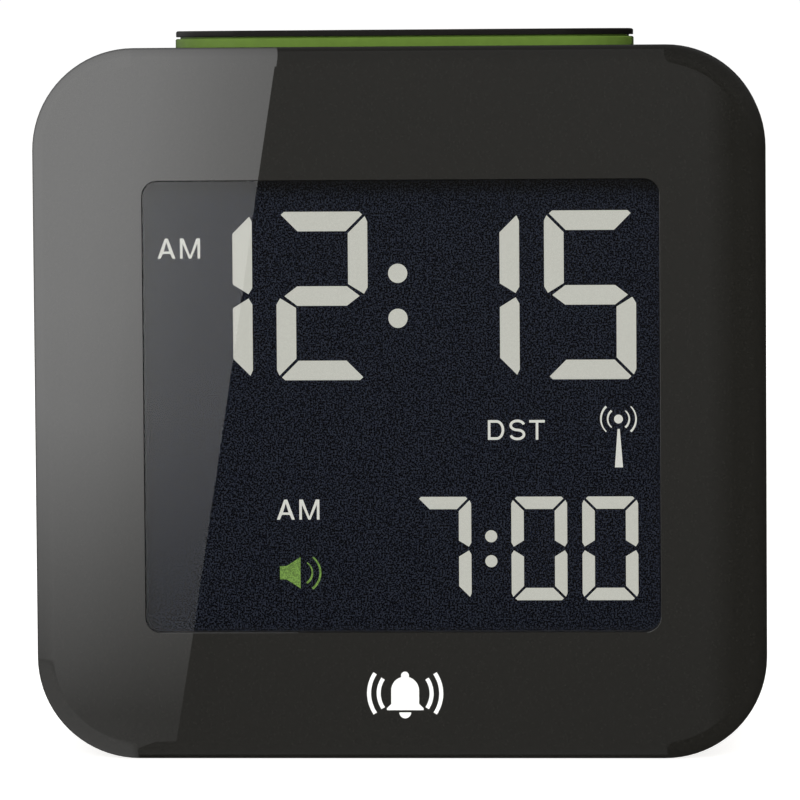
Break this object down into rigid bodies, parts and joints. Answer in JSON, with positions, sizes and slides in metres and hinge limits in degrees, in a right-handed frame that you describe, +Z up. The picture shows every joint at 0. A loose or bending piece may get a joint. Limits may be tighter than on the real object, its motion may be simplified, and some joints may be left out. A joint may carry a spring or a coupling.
{
  "type": "travel alarm clock",
  "caption": "Square battery travel alarm clock: segment display behind a flush pane, wide sprung button on top, keys, slide switches and battery door at the back.",
  "frame": {"origin": "centre of the flat underside that the clock stands on", "axes": "+Z up, the display faces -Y, +X to the right as seen from the front"},
  "size_m": [0.076, 0.038, 0.0757],
  "materials": {
    "gloss_black_case": "gloss",
    "satin_black_case": "satin",
    "button_green": "gloss",
    "button_black": "satin",
    "key_black": "satin",
    "clear_pane": "polished",
    "lcd_glass": "polished",
    "lcd_polariser": "satin",
    "light_guide_clear": "polished",
    "reflector_white": "satin",
    "inner_black_plastic": "matte",
    "inner_white_plastic": "satin",
    "gasket_foam": "matte",
    "zebra_rubber": "matte",
    "board_green": "satin",
    "chip_resin": "gloss",
    "component_metal": "satin",
    "switch_plastic": "satin",
    "led_resin": "gloss",
    "ferrite": "matte",
    "copper_wire": "gloss",
    "ribbon_white": "satin",
    "cell_jacket": "gloss",
    "contact_steel": "gloss",
    "screw_steel": "satin",
    "wire_red": "satin",
    "wire_black": "satin"
  },
  "bodies": {
    "clock_case": {"front_case": "gloss_black_case", "rear_case": "satin_black_case", "display_window": "clear_pane", "window_gasket": "gasket_foam", "lcd_frame": "inner_black_plastic", "lcd_front_polariser": "lcd_polariser", "lcd_front_glass": "lcd_glass", "lcd_rear_glass": "lcd_glass", "lcd_rear_polariser": "lcd_polariser", "light_guide": "light_guide_clear", "reflector_sheet": "reflector_white", "zebra_strip": "zebra_rubber", "backlight_led_left": "led_resin", "backlight_led_right": "led_resin", "main_board": "board_green", "controller_chip": "chip_resin", "quartz_crystal": "component_metal", "receiver_board": "board_green", "ferrite_rod": "ferrite", "antenna_coil": "copper_wire", "antenna_clip_left": "inner_white_plastic", "antenna_clip_right": "inner_white_plastic", "ribbon_cable": "ribbon_white", "key_board": "board_green", "tact_switch_minus": "switch_plastic", "tact_switch_plus": "switch_plastic", "tact_switch_alarm": "switch_plastic", "tact_switch_time": "switch_plastic", "reset_switch": "switch_plastic", "zone_switch_body": "component_metal", "dst_switch_body": "component_metal", "buzzer": "inner_black_plastic", "latch_switch_body": "switch_plastic", "button_spring_left": "contact_steel", "button_spring_right": "contact_steel", "battery_upper": "cell_jacket", "battery_lower": "cell_jacket", "contact_positive": "contact_steel", "contact_negative": "contact_steel", "contact_link": "contact_steel", "wire_positive": "wire_red", "wire_negative": "wire_black", "case_screw_1": "screw_steel", "case_screw_2": "screw_steel", "case_screw_3": "screw_steel", "case_screw_4": "screw_steel", "board_screw_1": "screw_steel", "board_screw_2": "screw_steel", "board_screw_3": "screw_steel", "board_screw_4": "screw_steel"},
    "top_button": {"button_body": "button_green", "button_lid": "button_black", "latch_plunger": "inner_white_plastic"},
    "minus_key": {"minus_key": "key_black"},
    "plus_key": {"plus_key": "key_black"},
    "alarm_key": {"alarm_key": "key_black"},
    "time_key": {"time_key": "key_black"},
    "zone_knob": {"zone_knob": "key_black"},
    "dst_knob": {"dst_knob": "key_black"},
    "battery_door": {"battery_door": "satin_black_case"}
  },
  "joints": [
    {"name": "top_button_press", "type": "slide", "parent": "clock_case", "child": "top_button", "axis": [0, 0, -1], "range_m": [0, 0.0016], "stiffness_N_per_m": 500, "springref_m": -0.002, "deforming": ["button_spring_left", "button_spring_right"]},
    {"name": "minus_key_press", "type": "slide", "parent": "clock_case", "child": "minus_key", "axis": [0, -1, 0], "range_m": [0, 0.0003], "stiffness_N_per_m": 400, "springref_m": -0.0005},
    {"name": "plus_key_press", "type": "slide", "parent": "clock_case", "child": "plus_key", "axis": [0, -1, 0], "range_m": [0, 0.0003], "stiffness_N_per_m": 400, "springref_m": -0.0005},
    {"name": "alarm_key_press", "type": "slide", "parent": "clock_case", "child": "alarm_key", "axis": [0, -1, 0], "range_m": [0, 0.0003], "stiffness_N_per_m": 400, "springref_m": -0.0005},
    {"name": "time_key_press", "type": "slide", "parent": "clock_case", "child": "time_key", "axis": [0, -1, 0], "range_m": [0, 0.0003], "stiffness_N_per_m": 400, "springref_m": -0.0005},
    {"name": "zone_knob_slide", "type": "slide", "parent": "clock_case", "child": "zone_knob", "axis": [1, 0, 0], "range_m": [0, 0.008]},
    {"name": "dst_knob_slide", "type": "slide", "parent": "clock_case", "child": "dst_knob", "axis": [1, 0, 0], "range_m": [0, 0.002]},
    {"name": "battery_door_hinge", "type": "hinge", "parent": "clock_case", "child": "battery_door", "pos_m": [0, 0.019, 0.0045], "axis": [-1, 0, 0], "range_deg": [0, 75]}
  ]
}
